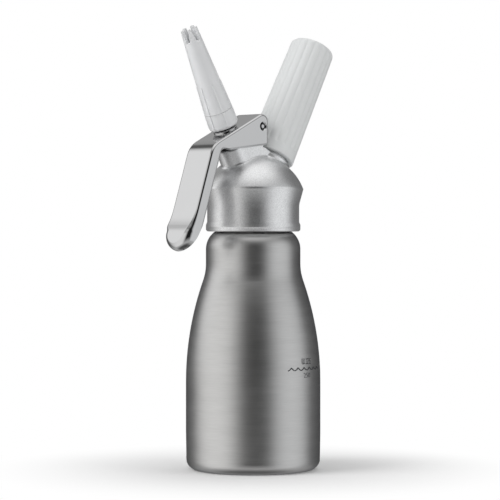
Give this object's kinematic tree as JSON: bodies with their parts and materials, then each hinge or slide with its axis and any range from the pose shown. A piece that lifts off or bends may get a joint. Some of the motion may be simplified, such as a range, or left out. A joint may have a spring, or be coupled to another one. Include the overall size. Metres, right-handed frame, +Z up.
{
  "type": "whipped cream dispenser",
  "caption": "Hand-held cream dispenser: steel bottle, cast screw-on head with sprung lever valve, decorating nozzle and gas charger holder.",
  "frame": {"origin": "centre of the bottle's flat foot", "axes": "+Z up the bottle; the lever and nozzle lean towards -X, the charger holder towards +X; the lever pin lies along Y"},
  "size_m": [0.1182, 0.0764, 0.2501],
  "materials": {
    "bottle_steel": "brushed round the bottle",
    "cast_aluminium": "bead blasted",
    "lever_steel": "satin polished",
    "pin_steel": "turned",
    "valve_steel": "turned",
    "spring_steel": "drawn wire",
    "nozzle_plastic": "gloss",
    "holder_plastic": "satin",
    "silicone": "satin",
    "seal_rubber": "matte",
    "charger_steel": "plated",
    "housing_brass": "turned",
    "filter_bronze": "sintered"
  },
  "bodies": {
    "bottle": {"bottle_body": "bottle_steel"},
    "gasket": {"head_gasket": "silicone"},
    "head": {"head_casting": "cast_aluminium", "lever_pin": "pin_steel", "spring_washer": "valve_steel", "valve_spring": "spring_steel", "charger_gasket": "seal_rubber", "pin_housing": "housing_brass", "gas_filter": "filter_bronze", "piercing_pin": "pin_steel", "check_valve_sleeve": "silicone"},
    "lever": {"lever": "lever_steel"},
    "valve": {"valve_stem": "valve_steel", "stem_o_ring": "seal_rubber", "valve_gasket": "seal_rubber", "valve_nut": "valve_steel", "spring_collar": "valve_steel", "nozzle_adaptor": "nozzle_plastic"},
    "nozzle_ring": {"nozzle_seal": "seal_rubber"},
    "nozzle": {"decorating_nozzle": "nozzle_plastic"},
    "charger": {"gas_charger": "charger_steel"},
    "holder": {"charger_holder": "holder_plastic", "charger_rest_pad": "seal_rubber"}
  },
  "joints": [
    {"name": "head_rise", "type": "slide", "parent": "bottle", "child": "gasket", "axis": [0, 0, 1], "range_m": [0, 0.017]},
    {"name": "head_turn", "type": "hinge", "parent": "gasket", "child": "head", "pos_m": [0, 0, 0.1515], "axis": [0, 0, 1], "range_deg": [0, 1530]},
    {"name": "lever_pivot", "type": "hinge", "parent": "head", "child": "lever", "pos_m": [-0.0021, 0, 0.1947], "axis": [0, -1, 0], "range_deg": [0, 6.21], "stiffness_Nm_per_rad": 1, "springref_deg": -15.47},
    {"name": "valve_stroke", "type": "slide", "parent": "head", "child": "valve", "axis": [0.4462, 0, -0.8949], "range_m": [0, 0.00198], "deforming": ["valve_spring"]},
    {"name": "nozzle_rise", "type": "slide", "parent": "valve", "child": "nozzle_ring", "axis": [-0.4462, 0, 0.8949], "range_m": [0, 0.0075]},
    {"name": "nozzle_turn", "type": "hinge", "parent": "nozzle_ring", "child": "nozzle", "pos_m": [0, 0, 0.1495], "axis": [-0.4462, 0, 0.8949], "range_deg": [0, 1080]},
    {"name": "charger_rise", "type": "slide", "parent": "head", "child": "charger", "axis": [0.4772, 0, 0.8788], "range_m": [0, 0.01]},
    {"name": "holder_turn", "type": "hinge", "parent": "charger", "child": "holder", "pos_m": [0, 0, 0.15434], "axis": [0.4772, 0, 0.8788], "range_deg": [0, 1200]}
  ],
  "couplings": [
    {"joint": "head_turn", "follows": "head_rise", "rad_per_m": 1570.8},
    {"joint": "lever_pivot", "follows": "valve_stroke", "rad_per_m": 54.67},
    {"joint": "nozzle_turn", "follows": "nozzle_rise", "rad_per_m": 2513.2},
    {"joint": "holder_turn", "follows": "charger_rise", "rad_per_m": 2094.3}
  ]
}
